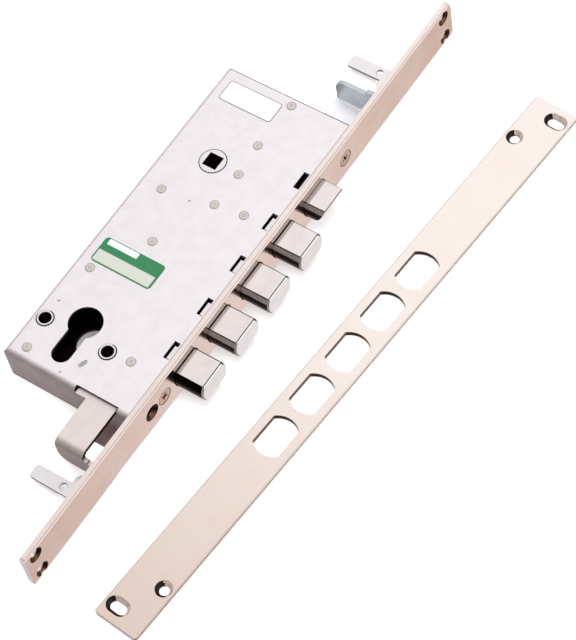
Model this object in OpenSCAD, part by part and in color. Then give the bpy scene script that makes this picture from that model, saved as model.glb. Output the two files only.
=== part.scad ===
// Multipoint mortise lock for a profile cylinder, with its strike plate.
// It lies on its far side: +X is the way the bolts are thrown, +Y runs up the faceplate to the
// latch and +Z points from the far side of the case to the near side.
// The origin is the cylinder's centre line, on the plane that the lock lies on.

/* [Case] */
// Distance from the faceplate's front to the cylinder's centre line
backset = 52; // [50:0.5:60]
// Gap between the rear bush and the back wall of the case
back_room = 1.5; // [1.3:0.1:4]
// Top of the case above the upper faceplate screw
case_above = 11.8; // [11:0.1:12.4]
// Bottom of the case below the cylinder's centre line
case_bottom = 32.5; // [31:0.5:34]
// Height of the near side above the plane that the lock lies on
case_near = 23.5; // [23.5:0.1:23.7]
// Height of the far side above the plane that the lock lies on
case_far = 0.5; // [0.4:0.1:0.6]
// Sheet thickness of the case and of its cover
sheet = 1.8; // [1.7:0.1:1.9]
// Outer radius of the folded edges
fold_r = 2.6; // [2.2:0.1:3]
// Height of the latch above the follower
latch_over = 12.7; // [11.4:0.1:13.6]
// Length of the tongue that the cover sends out below the case
tongue = 10.5; // [8:0.5:11]

/* [Faceplate] */
// Reach of the faceplate above the case
plate_over = 89.1; // [84:0.1:95]
// Reach of the faceplate below the case
plate_under = 85.5; // [81:0.1:90]
// Width of the faceplate
plate_w = 24; // [24:0.1:24.2]
// Thickness of the faceplate
plate_t = 3.5; // [3.3:0.1:3.7]
// Radius of the long front edges
plate_edge_r = 1.3; // [0.8:0.1:1.6]
// Distance of the end screw holes from the ends
end_hole_in = 7.2; // [6.5:0.1:9]
// Distance between the two screw holes at each end
end_hole_gap = 15; // [14:0.5:15.2]
// Height of the upper faceplate screw above the latch
screw_up = 27.5; // [26:0.1:29]
// Depth of the lower faceplate screw below the cylinder's centre line
screw_low = 9.5; // [9:0.1:9.8]
// Depth of the cylinder's fixing screw below the centre line
fixing_low = 19.8; // [19.6:0.1:20.5]
// Distance of the upper sheet lug from the faceplate's upper end
upper_lug_in = 44; // [42:0.5:46]
// Distance of the lower sheet lug from the faceplate's lower end
lower_lug_in = 46.5; // [44:0.5:50]

/* [Bolts] */
// Height of the lowest deadbolt above the cylinder's centre line
bolt_low = 9.2; // [9:0.1:9.4]
// Distance from one bolt to the next
bolt_pitch = 28; // [27.9:0.1:28.1]
// Diameter of the round bar that the bolts are made from
bolt_d = 20; // [19.6:0.1:20]
// Distance between the two flats of a bolt
bolt_flats = 13; // [12.8:0.1:13]
// Throw of the deadbolts
throw = 16.5; // [15.5:0.1:16.5]
// Projection of the latch
latch_throw = 12; // [11.9:0.1:12.1]
// Length of a bolt behind the faceplate's front
bolt_tail = 23; // [22.8:0.1:23]

/* [Rods] */
// Width of the rod straps
strap_w = 16.5; // [16:0.1:17]
// Distance from the faceplate's front to the middle of the straps
strap_in = 19.75; // [19.6:0.05:19.9]
// Thickness of the rods
rod_t = 2.5; // [2.3:0.1:2.5]
// Height of the upper strap's leg above the case
upper_leg_over = 24.5; // [23.5:0.1:27]
// Depth of the lower strap's leg below the case
lower_leg_under = 27; // [26.5:0.1:27.5]
// Module of the pinion and of the racks
gear_m = 1.5; // [1.5:0.5:1.5]
// Number of pinion teeth
gear_n = 12; // [12:4:12]

/* [Strike plate] */
// Length of the strike plate
strike_len = 350; // [340:1:360]
// Width of the strike plate
strike_w = 25.4; // [24.5:0.1:26]
// Thickness of the strike plate
strike_t = 3; // [2.5:0.1:3.5]
// Distance from the lower end to the middle of the lowest opening
strike_first = 119.4; // [115:0.1:123]
// Diameter of the round ends of the openings
strike_open_d = 22.4; // [21.5:0.1:23]
// Width of the openings across the plate
strike_open_w = 15.4; // [15:0.1:16]
// Middle of the strike plate in front of the faceplate
strike_x = 59.1; // [50:0.1:80]
// Middle of the strike plate above the cylinder's centre line
strike_y = 58.5; // [50:0.5:70]
// Turn of the strike plate on the plane that it lies on
strike_turn = -4.5; // [-6:0.5:0]

/* [Labels] */
// Distance of both labels from the back of the case
label_in = 6.4; // [6:0.1:8]
// Length of the white sticker
sticker_len = 32; // [28:0.5:34]
// Width of the white sticker
sticker_w = 12.8; // [11:0.1:13]
// Distance of the sticker's lower edge from the top of the case
sticker_down = 18.7; // [16:0.1:20]
// Length of the green label
green_len = 36.2; // [34:0.1:38]
// Width of the green label
green_w = 15.2; // [14:0.1:16]
// Height of the green label's lower edge above the cylinder's centre line
green_up = 30.5; // [29.5:0.5:33]

/* [Fits] */
// Gap all round between a bolt and the faceplate
bolt_gap = 0.4; // [0.35:0.05:0.45]
// Gap between moving plates that lie over each other
plate_gap = 0.3; // [0.3:0.05:0.35]
// Gap round the studs, pins and axles that a piece slides or turns on
run_gap = 0.08; // [0.05:0.01:0.1]
// Depth of the faceplate screws below the faceplate's front
screw_sink = 0.1; // [0:0.05:0.2]
// Gap under the heads of the faceplate screws
head_gap = 0.05; // [0.05:0.05:0.2]

/* [Hidden] */
$fn = 64;
mid_z = plate_w / 2;
cover_top = case_far + sheet;
near_in = case_near - sheet;
latch_up = bolt_low + 4 * bolt_pitch;
follower_up = latch_up - latch_over;
screw_high = latch_up + screw_up;
case_top = screw_high + case_above;
bolt_ys = [for (k = [0:3]) bolt_low + k * bolt_pitch];
opening_ys = [for (k = [0:4]) bolt_low + k * bolt_pitch];
near_rod_z = near_in - plate_gap - rod_t;
far_rod_z = cover_top + plate_gap;
strap_x0 = -strap_in - strap_w / 2;
strap_x1 = -strap_in + strap_w / 2;
plate_y0 = -case_bottom - plate_under;
plate_y1 = case_top + plate_over;
plate_len = plate_y1 - plate_y0;
upper_leg_y = case_top + upper_leg_over;
lower_leg_y = case_bottom + lower_leg_under;

// Sliding plates that the bolts are pinned to
slide_t = 5;
slide_z = mid_z - slide_t / 2;
slot_depth = 10.2;
spine_x0 = -22.5;
spine_x1 = -bolt_tail + slot_depth - 0.2;
pin_x = -18;
pin_r = 2.5;

// Bushes of the handle plates
bush_up = -7.8;
bush_span = 38;
bush_r = 4.2;
bush_bore_r = 3.1;
bush_rim_r = 4.9;
case_x0 = -backset - bush_span / 2 - bush_r - back_room - sheet;

// Follower
follower_x = 0.2 - backset;
journal_r = 7.3;
disc_r = 11;
arm_r = 15;
arm_start = 23.5;
arm_tip_r = 2.8;
square_w = 8;

// Pinion
pitch_r = gear_m * gear_n / 2;
gear_x = follower_x + 1.1;
gear_drop = 54.1;
gear_y = follower_up - gear_drop;
tooth_pitch = PI * gear_m;
pressure = 20;
base_r = pitch_r * cos(pressure);
tip_r = pitch_r + 0.9 * gear_m;
root_r = pitch_r - 1.25 * gear_m;
rack_add = 0.7 * gear_m;
rack_ded = 1.1 * gear_m;
backlash = 0.36;
tooth_half = 90 / gear_n - asin(backlash / 2 / pitch_r);
axle_r = 2.5;

// Pillars and studs, each placed from the wall or the moving piece that it stands beside
pillar_r = 2.5;
pillars = [[follower_x + 15.7, case_top - 4.5], [follower_x + 14.5, latch_up + 6.3],
           [follower_x + 15.9, follower_up - 0.3], [case_x0 + 9.6, 26.6],
           [case_x0 + 9.6, 7.1 - case_bottom]];
near_studs = [[-strap_in, follower_up - 19.1], [-strap_in, -6.5]];
leaf_stud = [strap_x0 - 8.2, follower_up - 21];
keeper_stud = [case_x0 + 13.6, gear_y + 27.6];
far_studs = [[-strap_in, case_top - 20.5], [-strap_in, follower_up - 3.5]];
keeper_w = 9;
keeper_len = 16;

// Marks punched into the near side
marks = [[follower_x + 3.6, follower_up - 25.7], [case_x0 + 7.7, 3.4],
         [follower_x + 5.6, 3.9 - case_bottom]];
mark_r = 0.7;

// Cylinder hole
cyl_r = 8.9;
lobe_w = 10.6;
lobe_low = 24.8;

// Screws
screw_r = 2.5;
screw_head_r = 4.8;
screw_len = 16;
fixing_r = 2.65;
small_r = 2.4;
small_head_r = 4.2;
block_w = 10;
block_reach = 14;

// Guide plate behind the faceplate
guide_x0 = -6.5;
guide_x1 = -4.7;
notch_x0 = -7.9;
notch_x1 = -4.6;
notch_h = 10.4;
notch_down = 0.7;
guide_gap = 0.3;

// Notch for the lower strap
strap_notch_x0 = strap_x0 - 7.2;
strap_notch_x1 = strap_x1 + 1.3;
strap_notch_y = 2.7 - case_bottom;

// Labels
label_t = 0.15;
label_r = 2;

// Everything but the strike plate is placed from the faceplate's front
module from_face() translate([backset, 0, 0]) children();

// Rectangle with one rounded corner, at low x and high y
module one_round(w, h, r) {
    square([w, h - r]);
    translate([r, 0]) square([w - r, h]);
    translate([r, h - r]) circle(r);
}

// Rectangle with two rounded corners, at low and at high y, both at high x
module two_round(w, h, r) {
    square([w - r, h]);
    translate([0, r]) square([w, h - 2 * r]);
    for (y = [r, h - r]) translate([w - r, y]) circle(r);
}

// Rectangle with four rounded corners
module four_round(w, h, r) {
    translate([r, 0]) square([w - 2 * r, h]);
    translate([0, r]) square([w, h - 2 * r]);
    for (x = [r, w - r], y = [r, h - r]) translate([x, y]) circle(r);
}

// Block whose low x and low y edges are rounded at the top
module folded_block(x0, x1, y0, y1, z0, z1, r) {
    intersection() {
        translate([x0, y1, z0]) rotate([90, 0, 0]) linear_extrude(y1 - y0)
            one_round(x1 - x0, z1 - z0, r);
        translate([x0, y0, z0]) rotate([90, 0, 90]) linear_extrude(x1 - x0)
            one_round(y1 - y0, z1 - z0, r);
    }
}

// Box from its low corner to its high corner
module span_box(a, b) translate(a) cube([for (i = [0:2]) b[i] - a[i]]);

// Slot along Y that a stud runs in, drawn from the stud's centre
module run_slot(at, reach, r) {
    y0 = min(0, reach);
    translate([at[0], at[1]]) {
        circle(r);
        translate([0, reach]) circle(r);
        translate([-r, y0]) square([2 * r, abs(reach)]);
    }
}

// Round bar along X with two flats and an eased tip
module flat_bar(x0, x1, r, h, ease) {
    intersection() {
        rotate([0, 90, 0]) rotate_extrude()
            polygon([[0, x0], [r, x0], [r, x1 - ease], [r - ease, x1], [0, x1]]);
        rotate([90, 0, 0]) linear_extrude(3 * r, center = true)
            polygon([[x0, -h], [x1 - ease, -h], [x1, ease - h], [x1, h - ease], [x1 - ease, h], [x0, h]]);
    }
}

// Opening for a flat bar, with a gap all round
module bar_opening(x0, x1, gap)
    flat_bar(x0, x1, bolt_d / 2 + gap, bolt_flats / 2 + gap, 0);

// Countersunk hole along X, from the front at x = 0
module countersink_x(head_r, r, depth) {
    rotate([0, 90, 0]) {
        translate([0, 0, r - head_r]) cylinder(h = head_r - r, r1 = r, r2 = head_r);
        cylinder(h = 1, r = head_r);
        translate([0, 0, -depth]) cylinder(h = depth, r = r);
    }
}

// Outline of the profile cylinder hole
module profile_hole() {
    circle(cyl_r);
    translate([-lobe_w / 2, lobe_w / 2 - lobe_low]) square([lobe_w, lobe_low - lobe_w / 2]);
    translate([0, lobe_w / 2 - lobe_low]) circle(lobe_w / 2);
}

// Round holes through a sheet
module holes(at, r, z0, z1)
    for (p = at) translate([p[0], p[1], z0]) cylinder(h = z1 - z0, r = r);

// Holes that the near sheet and the cover share
module shared_holes(z0, z1) {
    translate([-backset, 0, z0]) linear_extrude(z1 - z0) profile_hole();
    translate([follower_x, follower_up, z0]) cylinder(h = z1 - z0, r = journal_r + run_gap);
    holes([for (s = [-1, 1]) [s * bush_span / 2 - backset, bush_up]], bush_r, z0, z1);
    holes(concat(pillars, [[gear_x, gear_y]]), pillar_r, z0, z1);
}

// Folded sheet of the case between two heights, with the ways out of the two straps
module folded_sheet(z0, z1) difference() {
    intersection() {
        folded_block(case_x0, -plate_t, -case_bottom, case_top, cover_top, case_near, fold_r);
        span_box([case_x0 - 1, -case_bottom - 1, z0], [-plate_t, case_top + 1, z1]);
    }
    span_box([strap_notch_x0, -case_bottom - 1, near_rod_z - plate_gap],
             [strap_notch_x1, sheet + plate_gap - case_bottom, case_near + 1]);
    span_box([strap_x0 - plate_gap, case_top - sheet - 1, 0],
             [strap_x1 + plate_gap, case_top + 1, far_rod_z + rod_t + plate_gap]);
}

// Near side of the case
module case_shell() from_face() color([0.80, 0.79, 0.80]) difference() {
    folded_sheet(near_in, case_near + 1);
    shared_holes(near_in - 1, case_near + 1);
    holes(concat(near_studs, [leaf_stud, keeper_stud]), pillar_r, near_in - 1, case_near + 1);
    // Notches beside the bolts
    for (y = opening_ys)
        span_box([notch_x0, y - notch_down - notch_h / 2, near_in - 1],
                 [notch_x1, y - notch_down + notch_h / 2, case_near + 1]);
    // Notch over the lower strap
    span_box([strap_notch_x0, -case_bottom - 1, near_in - 1],
             [strap_notch_x1, strap_notch_y, case_near + 1]);
    // Punched marks in the near side
    holes(marks, mark_r, case_near - 0.4, case_near + 1);
    translate([-39.4, -19.2, case_near - 0.3]) rotate([0, 0, 68]) linear_extrude(1)
        translate([-2.6, -1.2]) four_round(5.2, 2.4, 1.1);
}

// Walls of the case at the back, below and above
module case_walls() from_face() color([0.80, 0.79, 0.80]) difference() {
    folded_sheet(cover_top - 1, near_in);
    span_box([case_x0 + sheet, sheet - case_bottom, 0], [1, case_top - sheet, case_near]);
}

module back_cover() from_face() color([0.76, 0.76, 0.77]) difference() {
    union() {
        translate([case_x0, -case_bottom, case_far]) linear_extrude(sheet)
            square([-plate_t - case_x0, case_top + case_bottom]);
        // Tongue below the case
        translate([-33, -case_bottom - tongue, case_far]) linear_extrude(sheet)
            square([33 - plate_t - 0.5, tongue + 1]);
    }
    shared_holes(case_far - 1, cover_top + 1);
    holes(far_studs, pillar_r, case_far - 1, cover_top + 1);
}

module faceplate() from_face() color([0.80, 0.72, 0.66]) difference() {
    intersection() {
        translate([-plate_t, plate_y1, 0]) rotate([90, 0, 0]) linear_extrude(plate_len)
            two_round(plate_t, plate_w, plate_edge_r);
        translate([-plate_t, plate_y0, 0]) rotate([90, 0, 90]) linear_extrude(plate_t)
            four_round(plate_len, plate_w, 1.5);
    }
    for (y = opening_ys) translate([0, y, mid_z]) bar_opening(-plate_t - 1, 1, bolt_gap);
    for (y = [screw_high, -screw_low]) translate([-screw_sink - head_gap, y, mid_z])
        countersink_x(screw_head_r, screw_r, plate_t + 1);
    translate([0, -fixing_low, mid_z]) countersink_x(screw_head_r, fixing_r, plate_t + 1);
    for (y = [plate_y0 + end_hole_in, plate_y1 - end_hole_in], s = [-1, 1])
        translate([0, y, mid_z + s * end_hole_gap / 2])
            countersink_x(small_head_r, small_r, plate_t + 1);
}

module guide_plate() from_face() color([0.70, 0.70, 0.72]) difference() {
    union() {
        span_box([guide_x0, sheet - case_bottom, cover_top], [guide_x1, case_top - sheet, near_in]);
        // Tabs that stand in the notches of the near side
        for (y = bolt_ys)
            span_box([guide_x0, y - 5.5, near_in - 1], [guide_x1, y + 2.4, case_near - 0.3]);
    }
    for (y = opening_ys) translate([0, y, mid_z]) bar_opening(guide_x0 - 1, guide_x1 + 1, guide_gap);
    for (y = [screw_high, -screw_low])
        span_box([guide_x0 - 1, y - block_w / 2, mid_z - block_w / 2],
                 [guide_x1 + 1, y + block_w / 2, mid_z + block_w / 2]);
    translate([guide_x1 + 1, -fixing_low, mid_z]) rotate([0, -90, 0]) cylinder(h = sheet + 2, r = 3);
}

module screw_blocks() from_face() color([0.62, 0.60, 0.58])
    for (y = [screw_high, -screw_low]) difference() {
        span_box([-block_reach, y - block_w / 2, mid_z - block_w / 2],
                 [-plate_t, y + block_w / 2, mid_z + block_w / 2]);
        translate([-block_reach - 1, y, mid_z]) rotate([0, 90, 0])
            cylinder(h = block_reach + 1, r = screw_r);
    }

module faceplate_screws() from_face() color([0.78, 0.70, 0.64])
    for (y = [screw_high, -screw_low]) translate([-screw_sink, y, mid_z]) difference() {
        rotate([0, 90, 0]) {
            translate([0, 0, screw_r - screw_head_r])
                cylinder(h = screw_head_r - screw_r, r1 = screw_r, r2 = screw_head_r);
            translate([0, 0, -screw_len]) cylinder(h = screw_len, r = screw_r);
        }
        rotate([20, 0, 0]) for (a = [0, 90]) rotate([a, 0, 0])
            translate([-2.2, -0.45, -2.3]) cube([5, 0.9, 4.6]);
    }

module pillars() from_face() color([0.74, 0.72, 0.70])
    for (p = pillars) translate([p[0], p[1], case_far])
        cylinder(h = case_near - case_far + 0.15, r = pillar_r);

module guide_studs() from_face() color([0.74, 0.72, 0.70]) {
    for (p = near_studs) translate([p[0], p[1], near_rod_z])
        cylinder(h = case_near + 0.15 - near_rod_z, r = pillar_r);
    translate([leaf_stud[0], leaf_stud[1], near_rod_z])
        cylinder(h = case_near + 0.15 - near_rod_z, r = pillar_r);
    translate([keeper_stud[0], keeper_stud[1], slide_z + slide_t + plate_gap])
        cylinder(h = case_near + 0.15 - slide_z - slide_t - plate_gap, r = pillar_r);
    for (p = far_studs) translate([p[0], p[1], case_far])
        cylinder(h = far_rod_z + rod_t - case_far, r = pillar_r);
}

module through_bushes() from_face() color([0.86, 0.86, 0.87])
    for (s = [-1, 1]) translate([s * bush_span / 2 - backset, bush_up, 0]) difference() {
        union() {
            translate([0, 0, case_far]) cylinder(h = case_near - case_far, r = bush_r);
            translate([0, 0, case_near]) cylinder(h = 0.3, r = bush_rim_r);
        }
        cylinder(h = case_near + 2, r = bush_bore_r);
    }

// Sheet lug fixed to the back of the faceplate, with a hole for a rod guide
module lug() {
    lug_t = 1.5;
    lug_z = 3.8;
    difference() {
        union() {
            translate([-35, -3.8, lug_z]) linear_extrude(lug_t) four_round(25, 7.6, 1.6);
            translate([-14.5, -3.8, lug_z]) linear_extrude(lug_t)
                polygon([[0, 0], [11, 0], [11, 13.5], [2, 13.5], [0, 11]]);
            // Flange against the faceplate
            span_box([-plate_t - lug_t, -3.8, lug_z], [-plate_t, 9.7, 10]);
        }
        translate([-16.8, 0, 0]) cylinder(h = 12, r = 2);
    }
}

module upper_lug() from_face() color([0.82, 0.84, 0.85])
    translate([0, plate_y1 - upper_lug_in, 0]) mirror([0, 1, 0]) lug();

module lower_lug() from_face() color([0.82, 0.84, 0.85])
    translate([0, plate_y0 + lower_lug_in, 0]) lug();

module deadbolt(k) from_face() color([0.84, 0.83, 0.83])
    translate([0, bolt_ys[k], mid_z]) difference() {
        flat_bar(-bolt_tail, throw, bolt_d / 2, bolt_flats / 2, 0.8);
        span_box([-bolt_tail - 1, -bolt_d, -slide_t / 2 - 0.1],
                 [slot_depth - bolt_tail, bolt_d, slide_t / 2 + 0.1]);
        translate([pin_x, 0, -bolt_flats]) cylinder(h = 2 * bolt_flats, r = pin_r);
    }

// Rack whose teeth point to -X, with a space between two teeth at the middle of the mesh
module rack(back) {
    ha = tooth_pitch / 4 - rack_add * tan(pressure);
    hd = tooth_pitch / 4 + rack_ded * tan(pressure);
    first = -5;
    last = 0;
    polygon(concat(
        [[back, (last + 1) * tooth_pitch], [back, first * tooth_pitch]],
        [[rack_ded, first * tooth_pitch]],
        [for (k = [first:last]) let (y = (k + 0.5) * tooth_pitch)
            each [[rack_ded, y - hd], [-rack_add, y - ha], [-rack_add, y + ha], [rack_ded, y + hd]]],
        [[rack_ded, (last + 1) * tooth_pitch]]));
}

module bolt_carriage() from_face() color([0.66, 0.66, 0.68]) {
    arm_low = 12.5;
    arm_top = 22;
    cam_x = -backset + throw / 2;
    difference() {
        translate([0, 0, slide_z]) union() {
            linear_extrude(slide_t) difference() {
                union() {
                    translate([spine_x0, bolt_ys[0] - 7])
                        square([spine_x1 - spine_x0, bolt_ys[3] - bolt_ys[0] + 14]);
                    // Arm over the cylinder, which its cam drives
                    translate([cam_x - 8.5, arm_low])
                        square([spine_x1 - cam_x + 8.5, arm_top - arm_low]);
                    // Arm that carries the rack
                    translate([gear_x - 3, gear_y + pitch_r + 4]) square([spine_x1 - gear_x + 3, 7]);
                }
                translate([cam_x, arm_low - 1]) {
                    translate([-5, 0]) square([10, 3.2]);
                    translate([0, 3.2]) circle(2.5);
                }
            }
            translate([gear_x, gear_y + pitch_r, 0]) rotate([0, 0, 90]) linear_extrude(slide_t) rack(5);
        }
        holes([for (y = bolt_ys) [pin_x, y]], pin_r, 0, plate_w);
    }
}

module carriage_pins() from_face() color([0.72, 0.72, 0.74])
    for (y = bolt_ys) translate([pin_x, y, mid_z]) cylinder(h = bolt_flats - 0.4, r = pin_r, center = true);

module carriage_keeper() from_face() color([0.66, 0.66, 0.68])
    translate([keeper_stud[0], keeper_stud[1], slide_z + slide_t + plate_gap]) difference() {
        linear_extrude(1.5) union() {
            circle(keeper_w / 2);
            translate([-keeper_w / 2, -keeper_len]) square([keeper_w, keeper_len]);
        }
        translate([0, 0, -1]) cylinder(h = 5, r = pillar_r);
    }

function involute(a) = tan(a) * 180 / PI - a;
function flank(r) = tooth_half + involute(pressure) - involute(acos(min(1, base_r / r)));
function polar(r, a) = [r * cos(a), r * sin(a)];

// Outline of the pinion, a flank in five steps
function pinion_outline() = let (radii = [for (i = [0:4]) base_r + i * (tip_r - base_r) / 4])
    [for (k = [0:gear_n - 1]) let (a = k * 360 / gear_n) each concat(
        [polar(root_r, a - 180 / gear_n), polar(root_r, a - flank(base_r))],
        [for (i = [0:4]) polar(radii[i], a - flank(radii[i]))],
        [for (i = [4:-1:0]) polar(radii[i], a + flank(radii[i]))],
        [polar(root_r, a + flank(base_r))])];

module pinion() from_face() color([0.60, 0.58, 0.55])
    translate([gear_x, gear_y, far_rod_z]) difference() {
        linear_extrude(near_rod_z + rod_t - far_rod_z) polygon(pinion_outline());
        translate([0, 0, -1]) cylinder(h = plate_w, r = axle_r + run_gap);
    }

module pinion_axle() from_face() color([0.74, 0.72, 0.70])
    translate([gear_x, gear_y, case_far]) cylinder(h = case_near + 0.15 - case_far, r = axle_r);

// Leg of a rod, bent square to its strap: y = 0 is its outer face and z = 0 the strap's outer face
module rod_leg() {
    bend_r = 4.5;
    main_h = 16.4;
    foot_h = near_rod_z + rod_t - cover_top - plate_gap;
    foot_x = strap_x1 + 2.5;
    difference() {
        union() {
            translate([strap_x0, 0, 0]) rotate([90, 0, 90]) linear_extrude(strap_w) difference() {
                union() {
                    translate([bend_r, -bend_r]) circle(bend_r);
                    translate([0, -main_h]) square([rod_t, main_h - bend_r]);
                    translate([bend_r, -rod_t]) square([8, rod_t]);
                }
                translate([bend_r, -bend_r]) circle(bend_r - rod_t);
                translate([bend_r, -2 * bend_r]) square([10, 2 * bend_r - rod_t]);
                translate([rod_t, -2 * bend_r]) square([10, bend_r]);
            }
            // Foot towards the faceplate
            span_box([foot_x, 0, -foot_h], [-plate_t - 0.8, rod_t, 2.6 - main_h / 2]);
            span_box([strap_x1, 0, -main_h], [foot_x, rod_t, -bend_r]);
        }
        // Rounded free corner
        translate([strap_x0 + 6, -1, 6 - main_h]) rotate([-90, 0, 0]) difference() {
            translate([-7, 0, 0]) cube([7, 7, 5]);
            translate([0, 0, -1]) cylinder(h = 8, r = 6);
        }
    }
}

module lower_rod() from_face() color([0.78, 0.76, 0.73]) {
    rod_top = follower_up - 4.5;
    difference() {
        union() {
            translate([0, 0, near_rod_z]) linear_extrude(rod_t) {
                translate([strap_x0, 12 - lower_leg_y])
                    square([strap_w, rod_top - 12 + lower_leg_y]);
                // Shoulder that fills the notch of the case
                translate([strap_x0 - 6.4, -case_bottom - 0.5]) one_round(8, 3.4, 1.5);
                translate([gear_x + pitch_r, gear_y]) rack(strap_x0 - gear_x - pitch_r + 2);
            }
            translate([0, -lower_leg_y, near_rod_z + rod_t]) rod_leg();
        }
        translate([0, 0, near_rod_z - 1]) linear_extrude(rod_t + 2)
            for (p = near_studs) run_slot(p, -throw, pillar_r + run_gap);
    }
}

module upper_rod() from_face() color([0.74, 0.77, 0.80]) {
    arm_x0 = gear_x - pitch_r - 5.8;
    arm_y = gear_y + throw + tip_r + 1.2;
    bar_y = gear_y - 14.4;
    difference() {
        union() {
            translate([0, 0, far_rod_z]) linear_extrude(rod_t) {
                translate([strap_x0, bar_y]) square([strap_w, upper_leg_y - 12 - bar_y]);
                translate([arm_x0, arm_y]) square([strap_x1 - arm_x0, 11.5]);
                translate([gear_x - pitch_r, gear_y]) rotate(180) rack(5.8);
                translate([arm_x0, arm_y - 6]) square([4, 8]);
            }
            translate([0, upper_leg_y, far_rod_z]) rotate([180, 0, 0]) rod_leg();
        }
        translate([0, 0, far_rod_z - 1]) linear_extrude(rod_t + 2)
            for (p = far_studs) run_slot(p, throw, pillar_r + run_gap);
    }
}

// Leaf that rubs on the strap and keeps the rods and bolts where they are put
module detent_leaf() from_face() color([0.55, 0.55, 0.60])
    translate([leaf_stud[0], leaf_stud[1], near_rod_z]) difference() {
        linear_extrude(rod_t) {
            circle(4.2);
            rotate(50) translate([0, 2.4]) square([12.8, 0.9]);
            translate([strap_x0 - run_gap - 1.2 - leaf_stud[0], 11.4]) circle(1.2);
        }
        translate([0, 0, -1]) cylinder(h = 5, r = pillar_r);
    }

module latch_bolt() from_face() color([0.84, 0.83, 0.83])
    translate([0, latch_up, mid_z]) difference() {
        intersection() {
            flat_bar(latch_x0, latch_throw, bolt_d / 2, bolt_flats / 2, 0.4);
            union() {
                span_box([-40, -bolt_d, -bolt_d], [0.9, bolt_d, bolt_d]);
                // Curved bevel, from the tip's near edge down to the far side
                translate([latch_throw - 19.3, 0, bevel_up]) rotate([90, 0, 0])
                    cylinder(h = 3 * bolt_d, r = bevel_r, center = true);
            }
        }
        span_box([latch_x0 - 1, -bolt_d, -slide_t / 2 - 0.1],
                 [slot_depth - bolt_tail, bolt_d, slide_t / 2 + 0.1]);
        translate([pin_x, -3, -bolt_flats]) cylinder(h = 2 * bolt_flats, r = pin_r);
    }

// Latch
bevel_r = 20;
bevel_up = 11.7;
tail_back = 7.2;
latch_x0 = 1 - bolt_tail;
arm_x = follower_x + arm_r * sin(arm_start);
tail_low = follower_up + disc_r + 1;
tail_top = pillars[1][1] + 7;
tail_x0 = arm_x - tail_back;
spring_end = spine_x1 - 1.2;
tail_slot = pillar_r + 0.3;

module latch_tail() from_face() color([0.66, 0.66, 0.68]) difference() {
    translate([0, 0, slide_z]) linear_extrude(slide_t) difference() {
        union() {
            translate([tail_x0, tail_low]) square([spine_x0 - tail_x0, tail_top - tail_low]);
            translate([spine_x0 - 1, latch_up - 7])
                square([spine_x1 - spine_x0 + 1, tail_top - latch_up + 7]);
        }
        // Notch for the follower's arm
        translate([arm_x - arm_tip_r - 0.4, tail_low - 1]) square([2 * arm_tip_r + 0.8, 7.5]);
        // Slot for the pillar and the latch spring
        translate([pillars[1][0], pillars[1][1]]) circle(tail_slot);
        translate([pillars[1][0], pillars[1][1] - tail_slot])
            square([spring_end - pillars[1][0], 2 * tail_slot]);
    }
    holes([[pin_x, latch_up - 3]], pin_r, 0, plate_w);
}

module latch_pin() from_face() color([0.72, 0.72, 0.74])
    translate([pin_x, latch_up - 3, mid_z]) cylinder(h = bolt_flats - 0.4, r = pin_r, center = true);

module follower() from_face() color([0.70, 0.68, 0.66])
    translate([follower_x, follower_up, 0]) difference() {
        union() {
            translate([0, 0, case_far]) cylinder(h = case_near - case_far + 0.2, r = journal_r);
            translate([0, 0, mid_z - 3.5]) cylinder(h = 7, r = disc_r);
            translate([0, 0, slide_z]) linear_extrude(slide_t) rotate(-arm_start) {
                translate([-1.8, 0]) square([3.6, arm_r]);
                translate([0, arm_r]) circle(arm_tip_r);
            }
        }
        translate([-square_w / 2, -square_w / 2, -1]) cube([square_w, square_w, plate_w + 4]);
    }

function unit(v) = v / norm(v);

// Wire along a path: a ring of points round each point of the path, square to its direction
module wire(path, r, up) {
    n = len(path);
    sides = 8;
    pts = [for (i = [0:n - 1])
        let (t = unit(path[min(n - 1, i + 1)] - path[max(0, i - 1)]),
             a = unit(cross(up, t)), b = cross(t, a))
        for (k = [0:sides - 1]) path[i] + r * (cos(k * 360 / sides) * a + sin(k * 360 / sides) * b)];
    faces = concat([[for (k = [sides - 1:-1:0]) k]],
        [for (i = [0:n - 2], k = [0:sides - 1]) let (j = (k + 1) % sides)
            [i * sides + k, i * sides + j, (i + 1) * sides + j, (i + 1) * sides + k]],
        [[for (k = [0:sides - 1]) (n - 1) * sides + k]]);
    polyhedron(pts, faces, convexity = 10);
}

// Compression spring between the pillar and the end of the tail's slot
module latch_spring() from_face() color([0.60, 0.62, 0.66]) {
    wire_r = 0.35;
    coil_r = 2;
    turns = 9;
    steps = 16;
    x0 = pillars[1][0] + pillar_r + wire_r + 0.1;
    x1 = spring_end - wire_r - 0.1;
    wire([for (i = [0:turns * steps]) let (a = i * 360 / steps)
        [x0 + (x1 - x0) * i / (turns * steps), pillars[1][1] + coil_r * cos(a), mid_z + coil_r * sin(a)]],
        wire_r, [1, 0, 0]);
}

// Torsion spring round the follower's far journal, with its long leg against a pillar
module follower_spring() from_face() color([0.60, 0.62, 0.66]) {
    wire_r = 0.6;
    coil_r = journal_r + 1;
    turns = 3;
    steps = 24;
    rise = 1.4;
    post = pillars[2] - [follower_x, follower_up];
    lean = asin((coil_r - pillar_r - wire_r) / norm(post)) + atan2(post[1], post[0]);
    last = lean - 90;
    z0 = far_rod_z + wire_r;
    coil = [for (i = [0:turns * steps]) let (a = last - (turns * steps - i) * 360 / steps)
        [coil_r * cos(a), coil_r * sin(a), z0 + rise * turns * (1 - i / (turns * steps))]];
    leg = [for (s = [1:4]) coil[turns * steps] + s * 4.4 * [cos(lean), sin(lean), 0]];
    hook = [for (s = [2:-1:1]) coil[0] - s * 2.5 * [-sin(last), cos(last), 0]];
    translate([follower_x, follower_up, 0]) wire(concat(hook, coil, leg), wire_r, [0, 0, 1]);
}

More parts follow.
